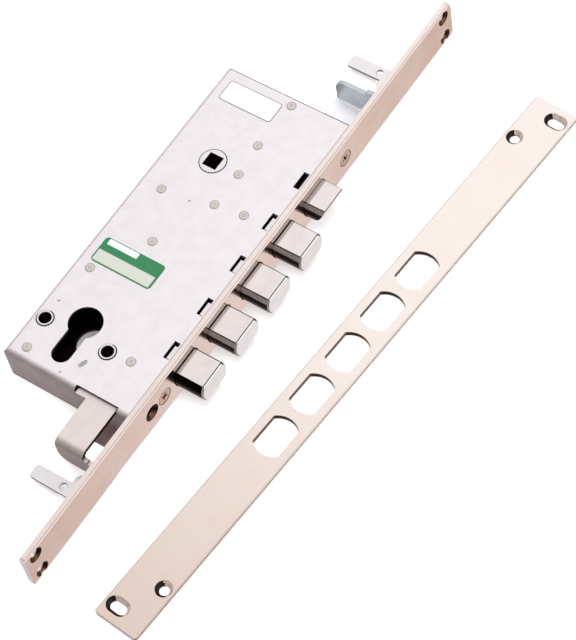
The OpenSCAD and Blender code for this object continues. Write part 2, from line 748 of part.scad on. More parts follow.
module blank_sticker() from_face() color([0.96, 0.96, 0.96])
    translate([case_x0 + label_in, case_top - sticker_down, case_near]) linear_extrude(label_t)
        four_round(sticker_len, sticker_w, label_r);

module green_label() from_face() color([0.15, 0.55, 0.32])
    translate([case_x0 + label_in, green_up, case_near]) linear_extrude(label_t)
        four_round(green_len, green_w, label_r);

module strike_plate() translate([backset + strike_x, strike_y, 0]) rotate([0, 0, strike_turn])
    translate([-strike_w / 2, -strike_len / 2, 0]) color([0.82, 0.75, 0.69]) difference() {
        intersection() {
            translate([0, 0, 0]) linear_extrude(strike_t) four_round(strike_w, strike_len, 1.5);
            translate([0, strike_len, 0]) rotate([90, 0, 0]) linear_extrude(strike_len)
                intersection() {
                    one_round(strike_w, strike_t, 0.8);
                    translate([strike_w, 0]) mirror([1, 0]) one_round(strike_w, strike_t, 0.8);
                }
        }
        for (k = [0:4]) translate([strike_w / 2, strike_first + k * bolt_pitch, -1])
            linear_extrude(strike_t + 2) intersection() {
                circle(strike_open_d / 2);
                square([strike_open_w, 2 * strike_open_d], center = true);
            }
        for (s = [0, 1]) translate([s * strike_w, s * strike_len, 0]) rotate([0, 0, 180 * s]) {
            // Round screw hole
            translate([strike_w - 5.7, 27.3, 0]) countersink_z(4.4, 2.6);
            // Oblong screw hole, across the plate
            for (x = [5.9, 9.7]) translate([x, 8.3, 0]) countersink_z(4.4, 2.6);
            translate([5.9, 8.3, 0]) rotate([90, 0, 90]) linear_extrude(3.8)
                polygon([[-2.6, -1], [2.6, -1], [2.6, strike_t - 1.8], [4.4, strike_t],
                         [4.4, strike_t + 1], [-4.4, strike_t + 1], [-4.4, strike_t],
                         [-2.6, strike_t - 1.8]]);
        }
    }

// Countersunk hole through the strike plate
module countersink_z(head_r, r) {
    translate([0, 0, -1]) cylinder(h = strike_t + 2, r = r);
    translate([0, 0, strike_t - head_r + r]) cylinder(h = head_r - r, r1 = r, r2 = head_r);
    translate([0, 0, strike_t]) cylinder(h = 1, r = head_r);
}

case_shell();
case_walls();
back_cover();
faceplate();
guide_plate();
screw_blocks();
faceplate_screws();
pillars();
guide_studs();
through_bushes();
upper_lug();
lower_lug();
deadbolt(0);  // deadbolt_1
deadbolt(1);  // deadbolt_2
deadbolt(2);  // deadbolt_3
deadbolt(3);  // deadbolt_4
bolt_carriage();
carriage_pins();
carriage_keeper();
pinion();
pinion_axle();
upper_rod();
lower_rod();
detent_leaf();
latch_bolt();
latch_tail();
latch_pin();
latch_spring();
follower();
follower_spring();
blank_sticker();
green_label();
strike_plate();
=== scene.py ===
import math

import bmesh
import bpy
from mathutils import Euler, Matrix, Vector


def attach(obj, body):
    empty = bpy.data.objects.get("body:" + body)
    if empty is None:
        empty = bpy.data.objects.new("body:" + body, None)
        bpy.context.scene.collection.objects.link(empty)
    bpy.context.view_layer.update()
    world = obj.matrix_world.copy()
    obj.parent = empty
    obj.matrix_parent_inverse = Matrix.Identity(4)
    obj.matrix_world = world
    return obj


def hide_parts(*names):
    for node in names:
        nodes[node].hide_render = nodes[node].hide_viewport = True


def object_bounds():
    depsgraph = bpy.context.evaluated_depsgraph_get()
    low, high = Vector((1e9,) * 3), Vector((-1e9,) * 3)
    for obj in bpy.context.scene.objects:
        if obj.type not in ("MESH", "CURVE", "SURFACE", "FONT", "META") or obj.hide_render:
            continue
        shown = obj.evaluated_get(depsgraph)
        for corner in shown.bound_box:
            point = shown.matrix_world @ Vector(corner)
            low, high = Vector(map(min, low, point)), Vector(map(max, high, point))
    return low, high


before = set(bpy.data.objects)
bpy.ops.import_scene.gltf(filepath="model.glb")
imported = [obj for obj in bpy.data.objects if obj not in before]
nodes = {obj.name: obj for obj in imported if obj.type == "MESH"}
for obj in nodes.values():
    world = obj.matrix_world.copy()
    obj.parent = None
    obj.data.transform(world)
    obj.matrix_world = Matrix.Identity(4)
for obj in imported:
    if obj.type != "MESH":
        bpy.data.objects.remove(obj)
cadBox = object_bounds()
mm = 0.001
print("frame loaded:", len(nodes), "nodes")

# Where things are, in mm in the frame of the model
rivetEnds = [(15.9, 156.0), (14.7, 127.5), (16.1, 108.2), (-16.9, 26.6), (-16.9, -25.4),
             (32.25, 89.4), (32.25, -6.5), (15.8, 87.5), (-12.9, 82.0), (1.3, 54.4)]
followerX, followerY = 0.2, 108.5
bushX, bushY = 19, -7.8
plateMiddle = 65.8
boltPitch = 28
# A normal with more than this along an axis counts as facing along it
facing = 0.93
# Relief of the finishes, in metres
reliefDepth = 0.00002
# For copies that keep their piece's own size
fullSize = (1, 1, 1)


# A colour written as sRGB hex, as Blender's linear values
def linear(code, alpha=1.0):
    parts = [int(code[i:i + 2], 16) / 255 for i in (1, 3, 5)]
    return tuple(c / 12.92 if c <= 0.04045 else ((c + 0.055) / 1.055) ** 2.4 for c in parts) + (alpha,)


# links maps the new node's inputs to output sockets, values set its inputs or properties
def addNode(tree, kind, links=None, **values):
    node = tree.nodes.new(kind)
    for key, value in values.items():
        if hasattr(node, key):
            setattr(node, key, value)
        else:
            node.inputs[key.replace("_", " ")].default_value = value
    for key, source in (links or {}).items():
        tree.links.new(source, node.inputs[key])
    return node


def newMaterial(name):
    mat = bpy.data.materials.new(name)
    mat.use_nodes = True
    tree = mat.node_tree
    tree.nodes.clear()
    shader = addNode(tree, "ShaderNodeBsdfPrincipled")
    addNode(tree, "ShaderNodeOutputMaterial", {"Surface": shader.outputs["BSDF"]})
    place = addNode(tree, "ShaderNodeTexCoord").outputs["Object"]
    return mat, tree, shader, place


# Plated or bare metal: grain that follows one direction, cloudy patches and fine pits
def metal(name, look):
    mat, tree, shader, place = newMaterial(name)
    grain = addNode(tree, "ShaderNodeMapping", {"Vector": place}, vector_type="POINT")
    grain.inputs["Scale"].default_value = [1 / (v * mm) for v in look["grain"]]
    lines = addNode(tree, "ShaderNodeTexNoise", {"Vector": grain.outputs["Vector"]},
                    Scale=1.0, Detail=3.0, Roughness=0.6).outputs["Fac"]
    clouds = addNode(tree, "ShaderNodeTexNoise", {"Vector": place},
                     Scale=1 / (look["cloud"] * mm), Detail=4.0, Roughness=0.55).outputs["Fac"]
    pits = addNode(tree, "ShaderNodeTexNoise", {"Vector": place},
                   Scale=1 / (look["pit"] * mm), Detail=2.0, Roughness=0.5).outputs["Fac"]
    # Colour drifts a little between a clear and a duller patch
    tone = addNode(tree, "ShaderNodeMapRange", {"Value": clouds}, To_Min=0.0, To_Max=1.0,
                   From_Min=0.35, From_Max=0.65)
    colour = addNode(tree, "ShaderNodeMix", {"Factor": tone.outputs["Result"]}, data_type="RGBA")
    colour.inputs[6].default_value = linear(look["dull"])
    colour.inputs[7].default_value = linear(look["clear"])
    streak = addNode(tree, "ShaderNodeMapRange", {"Value": lines}, From_Min=0.3, From_Max=0.7,
                     To_Min=1 - look["streak"], To_Max=1.0)
    shade = addNode(tree, "ShaderNodeMix", {}, data_type="RGBA", blend_type="MULTIPLY")
    shade.inputs[0].default_value = 1.0
    tree.links.new(colour.outputs[2], shade.inputs[6])
    tree.links.new(streak.outputs["Result"], shade.inputs[7])
    tinted = shade.outputs[2]
    # Where the look asks for it, painted shade makes the plating browner toward its lower end
    if "shadeFall" in look:
        low, high, tint = look["shadeFall"]
        along = addNode(tree, "ShaderNodeSeparateXYZ", {"Vector": place}).outputs["Y"]
        part = addNode(tree, "ShaderNodeMapRange", {"Value": along},
                       From_Min=low * mm, From_Max=high * mm, To_Min=1.0, To_Max=0.0)
        shadeFall = addNode(tree, "ShaderNodeMix", {"Factor": part.outputs["Result"]}, data_type="RGBA",
                       blend_type="MULTIPLY")
        tree.links.new(tinted, shadeFall.inputs[6])
        shadeFall.inputs[7].default_value = linear(tint)
        tinted = shadeFall.outputs[2]
    tree.links.new(tinted, shader.inputs["Base Color"])
    # Roughness follows the grain and the patches
    both = addNode(tree, "ShaderNodeMath", operation="ADD")
    tree.links.new(lines, both.inputs[0])
    tree.links.new(clouds, both.inputs[1])
    smoothest, roughest = look["rough"]
    rough = addNode(tree, "ShaderNodeMapRange", {"Value": both.outputs[0]}, From_Min=0.7, From_Max=1.3,
                    To_Min=smoothest, To_Max=roughest)
    tree.links.new(rough.outputs["Result"], shader.inputs["Roughness"])
    # Grain and pits stand a few microns deep
    relief = addNode(tree, "ShaderNodeMath", operation="MULTIPLY_ADD")
    tree.links.new(pits, relief.inputs[0])
    relief.inputs[1].default_value = 0.5
    tree.links.new(lines, relief.inputs[2])
    bump = addNode(tree, "ShaderNodeBump", {"Height": relief.outputs[0]}, Strength=look["bump"],
                   Distance=reliefDepth)
    tree.links.new(bump.outputs["Normal"], shader.inputs["Normal"])
    shader.inputs["Metallic"].default_value = look.get("metallic", 1.0)
    return mat


# Bright satin plating of the pressed case, with faint mottling
caseSteel = metal("caseSteel", {
    "clear": "#efeaee", "dull": "#e8e3e6", "grain": (1.2, 9, 1.2), "cloud": 7, "pit": 0.9,
    "streak": 0.02, "rough": (0.3, 0.4), "bump": 0.1, "metallic": 0.75})
# The same plating drawn over the lower fold, rubbed duller, its colour painted a little darker as the
# shade on that side
foldSteel = metal("foldSteel", {
    "clear": "#e6dbdd", "dull": "#dacfd1", "grain": (9, 1.2, 1.2), "cloud": 7, "pit": 0.9,
    "streak": 0.04, "rough": (0.5, 0.62), "bump": 0.15, "metallic": 0.7})
# Upper edge of the case: a narrow band painted dark, a painted line of shade along the edge
edgeSteel = metal("edgeSteel", {
    "clear": "#9a9396", "dull": "#868083", "grain": (2, 0.5, 0.5), "cloud": 4, "pit": 0.5,
    "streak": 0.15, "rough": (0.4, 0.55), "bump": 0.3})
# Satin nickel, brushed along the faceplate
plateGrain = {"grain": (0.35, 26, 0.35), "cloud": 16, "pit": 0.6}
plateNickel = metal("plateNickel", {
    **plateGrain, "clear": "#f7ebe5", "dull": "#f1e1d9",
    "streak": 0.08, "rough": (0.15, 0.25), "bump": 0.2})
# Bolts and latch: finer nickel, ground along their length
boltGrain = {"grain": (9, 0.4, 0.4), "cloud": 8, "pit": 0.5}
boltNickel = metal("boltNickel", {
    **boltGrain, "clear": "#efe8e6", "dull": "#e8dfdd",
    "streak": 0.05, "rough": (0.12, 0.2), "bump": 0.15})
# Turned sides of the bolts: left duller, and painted darker than the ground flats for their shade and
# dim reflections
boltSide = metal("boltSide", {
    **boltGrain, "clear": "#cfc4c0", "dull": "#bbb0ac",
    "streak": 0.04, "rough": (0.34, 0.42), "bump": 0.1, "metallic": 0.7})
# Painted shade and dark reflections on the bolts: thin edges, the rim at the faceplate and the lower
# half of their sides
boltShade = metal("boltShade", {
    **boltGrain, "clear": "#4b4341", "dull": "#3b3432",
    "streak": 0.1, "rough": (0.1, 0.2), "bump": 0.1})
# Ground ends of the bolts, cooler than their flats
tipNickel = metal("tipNickel", {
    "clear": "#f7fbff", "dull": "#eef2f6", "grain": (0.4, 5, 0.4), "cloud": 6, "pit": 0.5,
    "streak": 0.04, "rough": (0.18, 0.28), "bump": 0.12, "metallic": 0.85})
# Countersinks of the faceplate: polished by the cutter, and painted dark brown for the shade in them
sinkNickel = metal("sinkNickel", {
    "clear": "#7d5d4b", "dull": "#573c2e", "grain": (3, 0.4, 0.4), "cloud": 2.5, "pit": 0.4,
    "streak": 0.25, "rough": (0.08, 0.16), "bump": 0.15})
# Painted highlight: pale on the bores of the faceplate's end holes, its lower end face and the lower
# part of the strike plate's outer side
paintedHighlight = metal("paintedHighlight", {
    "clear": "#fffdf9", "dull": "#e9ddd3", "grain": (3, 0.4, 0.4), "cloud": 1.2, "pit": 0.4,
    "streak": 0.1, "rough": (0.3, 0.4), "bump": 0.1, "metallic": 0.3})
# Far long edge of the faceplate, which turns away from the light
rollNickel = metal("rollNickel", {
    **plateGrain, "clear": "#a89a95", "dull": "#988a85",
    "streak": 0.1, "rough": (0.2, 0.3), "bump": 0.2})
# Narrow ends of the strike plate
endNickel = metal("endNickel", {
    "clear": "#e3d5cd", "dull": "#d5c6be", "grain": (3, 0.5, 0.5), "cloud": 4, "pit": 0.4,
    "streak": 0.1, "rough": (0.3, 0.42), "bump": 0.2, "metallic": 0.4})
# Sheared edges of the strike plate and of punched openings, matt and darker
cutNickel = metal("cutNickel", {
    "clear": "#8d817b", "dull": "#74695f", "grain": (0.5, 0.5, 3), "cloud": 4, "pit": 0.4,
    "streak": 0.2, "rough": (0.35, 0.5), "bump": 0.3})
# Sides of the strike plate's countersinks that catch the light
sinkPale = metal("sinkPale", {
    "clear": "#ead8ce", "dull": "#c9b6ac", "grain": (3, 0.4, 0.4), "cloud": 1.5, "pit": 0.4,
    "streak": 0.25, "rough": (0.3, 0.42), "bump": 0.2, "metallic": 0.3})
# Strike plate: paler satin plate, with painted shade browning it toward its lower end
strikeNickel = metal("strikeNickel", {
    "clear": "#fff7f0", "dull": "#faefe8", "shadeFall": (-116, 60, "#efe5e0"),
    "grain": (0.5, 22, 0.5), "cloud": 18, "pit": 0.7,
    "streak": 0.035, "rough": (0.22, 0.32), "bump": 0.15})
# Matt zinc on the lower rod, faintly warm
rodGrain = {"grain": (0.6, 12, 0.6), "cloud": 9, "pit": 0.6}
rodZinc = metal("rodZinc", {
    **rodGrain, "metallic": 0.6, "clear": "#ded3d0", "dull": "#d6cbc8",
    "streak": 0.05, "rough": (0.34, 0.46), "bump": 0.25})
# Matt zinc on the upper rod, faintly blue
blueZinc = metal("blueZinc", {
    **rodGrain, "metallic": 0.7, "clear": "#d9e0e5", "dull": "#d0d8de",
    "streak": 0.04, "rough": (0.34, 0.46), "bump": 0.2})
# Flat of the upper rod, painted paler than the rod as the light on its top
litZinc = metal("litZinc", {
    **rodGrain, "metallic": 0.35, "clear": "#eef0f5", "dull": "#e7e9ef",
    "streak": 0.03, "rough": (0.4, 0.5), "bump": 0.15})
# Upper edge of the upper rod's leg, painted greyer than its side as shade
edgeZinc = metal("edgeZinc", {
    **rodGrain, "metallic": 0.35, "clear": "#b4bcc2", "dull": "#abb3ba",
    "streak": 0.03, "rough": (0.4, 0.5), "bump": 0.15})
# Tongue of the cover below the case, matt and painted dark brown for the shade it lies in
tongueShade = metal("tongueShade", {
    "clear": "#b29a99", "dull": "#a08887", "grain": (1.5, 8, 1.5), "cloud": 6, "pit": 0.8,
    "streak": 0.1, "rough": (0.45, 0.55), "bump": 0.1, "metallic": 0.1})
# Rings pressed into the rivet ends, painted darker for the shade in them
ringSteel = metal("ringSteel", {
    "clear": "#bdb1ad", "dull": "#a89c98", "grain": (0.5, 0.5, 0.5), "cloud": 2, "pit": 0.4,
    "streak": 0.1, "rough": (0.35, 0.5), "bump": 0.3})
# Bright zinc on cover, guide plate and lugs
sheetZinc = metal("sheetZinc", {
    "clear": "#fbf8fa", "dull": "#f1eef0", "grain": (1.5, 8, 1.5), "cloud": 6, "pit": 0.8,
    "streak": 0.04, "rough": (0.26, 0.38), "bump": 0.2})
# Oiled steel of the parts inside, also used as painted shade on the ridges of the mark
innerSteel = metal("innerSteel", {
    "clear": "#8a837f", "dull": "#655e5a", "grain": (0.5, 7, 0.5), "cloud": 5, "pit": 0.5,
    "streak": 0.15, "rough": (0.3, 0.5), "bump": 0.35})
# Upset ends of pillars and studs, a little darker than the case
rivetSteel = metal("rivetSteel", {
    "clear": "#f3ebe8", "dull": "#e9dfdb", "grain": (0.7, 0.7, 0.7), "cloud": 2, "pit": 0.4,
    "streak": 0.1, "rough": (0.3, 0.45), "bump": 0.4})
# Oiled steel painted dark as the shade on inside faces, bores, recesses and shaded flanks
shadeSteel = metal("shadeSteel", {
    "clear": "#4a4340", "dull": "#352f2d", "grain": (1, 6, 1), "cloud": 4, "pit": 0.6,
    "streak": 0.2, "rough": (0.45, 0.6), "bump": 0.3})
# Drawn spring wire
springWire = metal("springWire", {
    "clear": "#c9cbd0", "dull": "#a4a7ad", "grain": (0.4, 0.4, 3), "cloud": 3, "pit": 0.3,
    "streak": 0.12, "rough": (0.2, 0.34), "bump": 0.2})
# Nickelled screws, with painted shade in their recess
screwNickel = metal("screwNickel", {
    "clear": "#e4cabb", "dull": "#cdb2a3", "grain": (0.5, 0.5, 0.5), "cloud": 3, "pit": 0.3,
    "streak": 0.08, "rough": (0.18, 0.28), "bump": 0.2})


# Printed film: a ground colour with rounded panels, satin coat and faint ink mottle
def film(name, look):
    mat, tree, shader, place = newMaterial(name)
    mottle = addNode(tree, "ShaderNodeTexNoise", {"Vector": place}, Scale=1 / (1.6 * mm), Detail=3.0)
    ground = addNode(tree, "ShaderNodeMix", {"Factor": mottle.outputs["Fac"]}, data_type="RGBA")
    ground.inputs[6].default_value = linear(look["ground"][0])
    ground.inputs[7].default_value = linear(look["ground"][1])
    last = ground.outputs[2]
    for panel in look["panels"]:
        # Distance outside a rounded rectangle, from the middle of the panel
        cx, cy, halfX, halfY, radius = [v * mm for v in panel["box"]]
        shift = addNode(tree, "ShaderNodeVectorMath", {"Vector": place}, operation="SUBTRACT")
        shift.inputs[1].default_value = (cx, cy, 0)
        size = addNode(tree, "ShaderNodeVectorMath", operation="ABSOLUTE")
        tree.links.new(shift.outputs[0], size.inputs[0])
        past = addNode(tree, "ShaderNodeVectorMath", operation="SUBTRACT")
        tree.links.new(size.outputs[0], past.inputs[0])
        past.inputs[1].default_value = (halfX - radius, halfY - radius, 1)
        over = addNode(tree, "ShaderNodeVectorMath", operation="MAXIMUM")
        tree.links.new(past.outputs[0], over.inputs[0])
        over.inputs[1].default_value = (0, 0, 0)
        far = addNode(tree, "ShaderNodeVectorMath", operation="LENGTH")
        tree.links.new(over.outputs[0], far.inputs[0])
        mask = addNode(tree, "ShaderNodeMapRange", {"Value": far.outputs["Value"]},
                       From_Min=radius - 0.08 * mm, From_Max=radius + 0.08 * mm, To_Min=1.0, To_Max=0.0)
        mix = addNode(tree, "ShaderNodeMix", {"Factor": mask.outputs["Result"]}, data_type="RGBA")
        tree.links.new(last, mix.inputs[6])
        mix.inputs[7].default_value = linear(panel["colour"])
        last = mix.outputs[2]
    tree.links.new(last, shader.inputs["Base Color"])
    bump = addNode(tree, "ShaderNodeBump", {"Height": mottle.outputs["Fac"]}, Strength=0.08,
                   Distance=reliefDepth)
    tree.links.new(bump.outputs["Normal"], shader.inputs["Normal"])
    shader.inputs["Roughness"].default_value = 0.45
    shader.inputs["Coat Weight"].default_value = 0.15
    shader.inputs["Coat Roughness"].default_value = 0.3
    return mat


# Blank white sticker with a thin grey border
whiteFilm = film("whiteFilm", {
    "ground": ("#6d7074", "#777a7e"),
    "panels": [{"box": (-4.1, 148.2, 15.55, 5.95, 1.6), "colour": "#e2e2e4"}]})
# Green label with two bare pale panels
greenFilm = film("greenFilm", {
    "ground": ("#1c6a3f", "#267548"),
    "panels": [{"box": (-8.7, 43.6, 9.0, 1.65, 0.3), "colour": "#dcdfe0"},
               {"box": (-2.2, 34.6, 17.1, 3.3, 0.5), "colour": "#b9bcb3"}]})
print("materials ready")


# A CAD node's mesh, to work on
def nodeMesh(name):
    bm = bmesh.new()
    bm.from_mesh(nodes[name].data)
    return bm


# Drops double points and the lines across flat faces
def clean(bm, flat=0.6):
    bmesh.ops.remove_doubles(bm, verts=bm.verts, dist=0.000002)
    bmesh.ops.dissolve_limit(bm, angle_limit=math.radians(flat), verts=bm.verts, edges=bm.edges)
    bmesh.ops.recalc_face_normals(bm, faces=bm.faces)


def plainObject(name, bm):
    mesh = bpy.data.meshes.new(name)
    bm.to_mesh(mesh)
    bm.free()
    obj = bpy.data.objects.new(name, mesh)
    bpy.context.scene.collection.objects.link(obj)
    return obj


# Puts what the modifiers make into the object's own mesh and drops them
def bake(obj):
    graph = bpy.context.evaluated_depsgraph_get()
    mesh = bpy.data.meshes.new_from_object(obj.evaluated_get(graph))
    obj.modifiers.clear()
    obj.data = mesh
    return obj


# Rounds the edges. widthAt gives the radius in mm for the middle of an edge
def rounded(obj, width, widthAt=None, angle=28, segments=3):
    bm = bmesh.new()
    bm.from_mesh(obj.data)
    layer = bm.edges.layers.float.new("bevel_weight_edge")
    for edge in bm.edges:
        if len(edge.link_faces) == 2 and edge.calc_face_angle(0) > math.radians(angle):
            mid = (edge.verts[0].co + edge.verts[1].co) / 2 / mm
            edge[layer] = min(1.0, (widthAt(mid) if widthAt else width) / width)
    bm.to_mesh(obj.data)
    bm.free()
    bevel = obj.modifiers.new("bevel", "BEVEL")
    bevel.limit_method = "WEIGHT"
    bevel.width = width * mm
    bevel.segments = segments
    bevel.use_clamp_overlap = True
    even = obj.modifiers.new("even", "WEIGHTED_NORMAL")
    even.keep_sharp = True
    even.weight = 100
    obj.data.shade_smooth()
    obj.data.set_sharp_from_angle(angle=math.radians(50))
    return bake(obj)


# zones: (finish, test of a face's middle in mm and its normal), the first that holds is taken
def finished(obj, material, body, slot, *replaced, zones=()):
    obj.data.materials.clear()
    for finish in (material, *[zone[0] for zone in zones]):
        obj.data.materials.append(finish)
    if zones:
        for face in obj.data.polygons:
            found = [k for k, zone in enumerate(zones) if zone[1](face.center / mm, face.normal)]
            face.material_index = found[0] + 1 if found else 0
    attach(obj, body)
    if replaced:
        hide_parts(*replaced)
    return obj


# Exact boolean of two objects. The second one is removed
def joinInto(target, other, operation):
    mod = target.modifiers.new("join", "BOOLEAN")
    mod.operation = operation
    mod.solver = "EXACT"
    mod.object = other
    bake(target)
    bpy.data.objects.remove(other)
    return target


def cleaned(obj, flat=0.6):
    bm = bmesh.new()
    bm.from_mesh(obj.data)
    clean(bm, flat)
    bm.to_mesh(obj.data)
    bm.free()
    return obj


# Looks towards the lower right of the view, for shaded flanks
def lowSide(n):
    return n.x - n.y > -0.35


# Distance from the axis of the nearer bush
def bushRadius(p):
    return math.hypot(abs(p.x) - bushX, p.y - bushY)


# Single pieces that keep their node's form and get rounded edges and a finish
pieceSpecs = [
    # Cover: its tongue below the case painted dark brown and its inside faces dark, both painted shade
    {"name": "caseCover", "node": "back_cover", "width": 0.25, "material": sheetZinc,
     "body": "case", "slot": "case_steel",
     "zones": [(tongueShade, lambda p, n: p.y < -32),
               (shadeSteel, lambda p, n: (n.z > 0.5 and p.z > 1 and -30 < p.y) or (
                   abs(n.z) < 0.3 and p.x < 45 and abs(p.y - 64) < 90))]},
    # Guide plate: its parts below the near side of the case get painted shade
    {"name": "guideTabs", "node": "guide_plate", "width": 0.3, "material": sheetZinc,
     "body": "case", "slot": "zinc_steel", "zones": [(shadeSteel, lambda p, n: p.z < 21.8)]},
    {"name": "upperLug", "node": "upper_lug", "width": 0.3, "material": sheetZinc,
     "body": "case", "slot": "zinc_steel"},
    {"name": "lowerLug", "node": "lower_lug", "width": 0.3, "material": sheetZinc,
     "body": "case", "slot": "zinc_steel"},
    # Bushes: painted shade in the bores and on the flanks towards the lower right of the view
    {"name": "throughBushes", "node": "through_bushes", "width": 0.25, "material": sheetZinc,
     "body": "case", "slot": "bright_nickel", "zones": [(shadeSteel, lambda p, n: n.z < 0.97 and (
         bushRadius(p) < 3.3 or lowSide(n)))]},
    # Upper rod: its flat painted paler as the light on it, the leg's upper edge painted greyer as shade
    {"name": "upperRod", "node": "upper_rod", "width": 0.45, "material": blueZinc,
     "body": "upper_rod", "slot": "rod_steel",
     "zones": [(litZinc, lambda p, n: n.z > 0.8 and p.z < 9),
               (edgeZinc, lambda p, n: n.z > 0.3 and p.z > 9)]},
    # Lower rod: painted shade on its faces towards the faceplate
    {"name": "lowerRod", "node": "lower_rod", "width": 0.45, "material": rodZinc,
     "body": "lower_rod", "slot": "rod_steel", "zones": [(shadeSteel, lambda p, n: n.x > 0.6)]},
    # Latch: painted shade and dark reflections on its edges and the lower part of its lower side; its
    # sides painted darker than the flat
    {"name": "latchBolt", "node": "latch_bolt", "width": 0.5, "material": boltNickel,
     "body": "latch", "slot": "bright_nickel",
     "zones": [(boltShade, lambda p, n: (n.y < -0.3 and abs(n.z) < facing and p.z < 15.6) or (
                   (n.x > 0.2 or n.y < -0.12) and 0.6 < n.z < 0.95)),
               (boltSide, lambda p, n: abs(n.y) > 0.3 and abs(n.z) < facing)]},
    # Follower: its sides and what lies below the near side get painted shade, a dark ring round it
    {"name": "follower", "node": "follower", "width": 0.3, "material": sheetZinc,
     "body": "follower", "slot": "inner_steel",
     "zones": [(shadeSteel, lambda p, n: p.z < 21.5 or abs(n.z) < 0.9)]},
    {"name": "boltCarriage", "node": "bolt_carriage", "width": 0.2, "material": innerSteel,
     "body": "bolts", "slot": "inner_steel"},
    {"name": "latchTail", "node": "latch_tail", "width": 0.2, "material": innerSteel,
     "body": "latch", "slot": "inner_steel"},
    {"name": "carriageKeeper", "node": "carriage_keeper", "width": 0.2, "material": innerSteel,
     "body": "case", "slot": "inner_steel"},
]


# A line across a flat face lets the two sides have finishes of their own
def cutAcross(bm, place, normal=(0, 1, 0)):
    bmesh.ops.bisect_plane(bm, geom=[*bm.verts, *bm.edges, *bm.faces], dist=0.000001,
                           plane_co=[place * mm * n for n in normal], plane_no=normal)


# The follower's ring stands free in its hole and the bushes' rims fall off outwards
def reshaped(name, bm):
    for vertex in bm.verts:
        p = vertex.co / mm
        fromFollower = math.hypot(p.x - followerX, p.y - followerY)
        if name == "follower" and p.z > 21.7 and 7.1 < fromFollower < 7.5:
            vertex.co.x += (followerX - p.x) * 0.05 * mm
            vertex.co.y += (followerY - p.y) * 0.05 * mm
        if name == "throughBushes" and p.z > 23.6 and bushRadius(p) > 4.5:
            vertex.co.x += (math.copysign(bushX, p.x) - p.x) * 0.16 * mm
            vertex.co.y += (bushY - p.y) * 0.16 * mm
    # The cover's tongue starts below the case
    if name == "caseCover":
        cutAcross(bm, -31.6)


for spec in pieceSpecs:
    bm = nodeMesh(spec["node"])
    clean(bm)
    reshaped(spec["name"], bm)
    piece = rounded(plainObject(spec["name"], bm), spec["width"])
    finished(piece, spec["material"], spec["body"], spec["slot"], spec["node"],
             zones=spec.get("zones", ()))
    print(spec["name"], len(piece.data.vertices), "vertices")

# Case: near side and walls become one folded sheet, whose punched edges are softer than its rim
caseObj = cleaned(plainObject("caseSheet", nodeMesh("case_shell")))
wallObj = cleaned(plainObject("wallSheet", nodeMesh("case_walls")))
cleaned(joinInto(caseObj, wallObj, "UNION"), 0.4)
caseBm = bmesh.new()
caseBm.from_mesh(caseObj.data)
# The sheet ends clear of the faceplate, and a narrow band at its upper edge is cut off for a painted
# line of shade
for vertex in caseBm.verts:
    if vertex.co.x > 48.4 * mm:
        vertex.co.x = 48.1 * mm
cutAcross(caseBm, 159.95)
caseBm.to_mesh(caseObj.data)
caseBm.free()
rounded(caseObj, 0.35, lambda p: 0.35 if p.y > 160 else 0.2)
for vertex in caseObj.data.vertices:
    vertex.co.x = max(vertex.co.x, cadBox[0][0])
# Painted shade: a dark line along the upper edge, the inside faces, and a little on the lower fold
finished(caseObj, caseSteel, "case", "case_steel", "case_shell", "case_walls", zones=[
    (edgeSteel, lambda p, n: p.y > 159.9 and p.z > 22),
    (shadeSteel, lambda p, n: p.x > -25.5 and -31.5 < p.y < 159.5 and (
        n.z < -0.3 or (abs(n.z) < 0.5 and (p.z < 21.6 or p.x < 45)))),
    (foldSteel, lambda p, n: n.y < -0.05 and p.y < -29)])
print("case", len(caseObj.data.vertices), "vertices")

# Faceplate: long edges drawn round, openings broken lightly
plateBm = nodeMesh("faceplate")
clean(plateBm)
plateObj = rounded(plainObject("facePlate", plateBm), 0.7,
                   lambda p: 0.7 if (p.z < 0.2 or p.z > 23.8) else 0.14, angle=24, segments=5)


# Inside the faceplate's outline
def inHole(p):
    return 0.9 < p.z < 23.1 and -116.5 < p.y < 248.5


# Painted highlight on the end holes' bores and the lower end face; painted shade in the other bores
# and, dark brown, in the countersinks
finished(plateObj, plateNickel, "case", "satin_nickel", "faceplate", zones=[
    (paintedHighlight, lambda p, n: inHole(p) and abs(n.x) < 0.3 and abs(p.y - plateMiddle) > 120),
    (shadeSteel, lambda p, n: inHole(p) and abs(n.x) < 0.3),
    (sinkNickel, lambda p, n: inHole(p) and 0.3 <= abs(n.x) < facing),
    (paintedHighlight, lambda p, n: p.y < -117.2 and n.y < -0.3),
    (rollNickel, lambda p, n: p.z < 1.2 and n.x > 0.3 and n.z < -0.05)])
print("faceplate", len(plateObj.data.vertices), "vertices")

# Strike plate: its outer side is painted pale up to a line, a painted highlight, and is dark above it
sideLine = 1.7
strikeMiddle = Vector((111.1, 58.5, 0))
strikeTurn = Matrix.Rotation(math.radians(4.5), 3, "Z")
strikeBm = nodeMesh("strike_plate")
clean(strikeBm)
cutAcross(strikeBm, sideLine, (0, 0, 1))
strikeObj = rounded(plainObject("strikePlate", strikeBm), 0.5, angle=24, segments=4)


# Place on the strike plate as if it lay straight, from its middle
def onStrike(p):
    return strikeTurn @ (p - strikeMiddle)


# Near the screw holes of the strike plate, clear of its outline
def inSink(p):
    return abs(onStrike(p).x) < 11.2 and 120 < abs(onStrike(p).y) < 173


finished(strikeObj, strikeNickel, "case", "satin_nickel", "strike_plate", zones=[
    (endNickel, lambda p, n: abs(n.z) < 0.4 and abs(n.y) > 0.9 and not -80 < p.y < 200),
    (paintedHighlight, lambda p, n: abs(n.z) < 0.4 and p.z < sideLine and onStrike(p).x > 11.9),
    (cutNickel, lambda p, n: abs(n.z) < 0.4),
    # Countersink sides that face away from the light get painted shade
    (shadeSteel, lambda p, n: abs(n.z) < facing and (n.x > 0.4 or n.y > 0.5) and inSink(p)),
    (sinkPale, lambda p, n: abs(n.z) < facing and inSink(p))])
print("strike plate", len(strikeObj.data.vertices), "vertices")


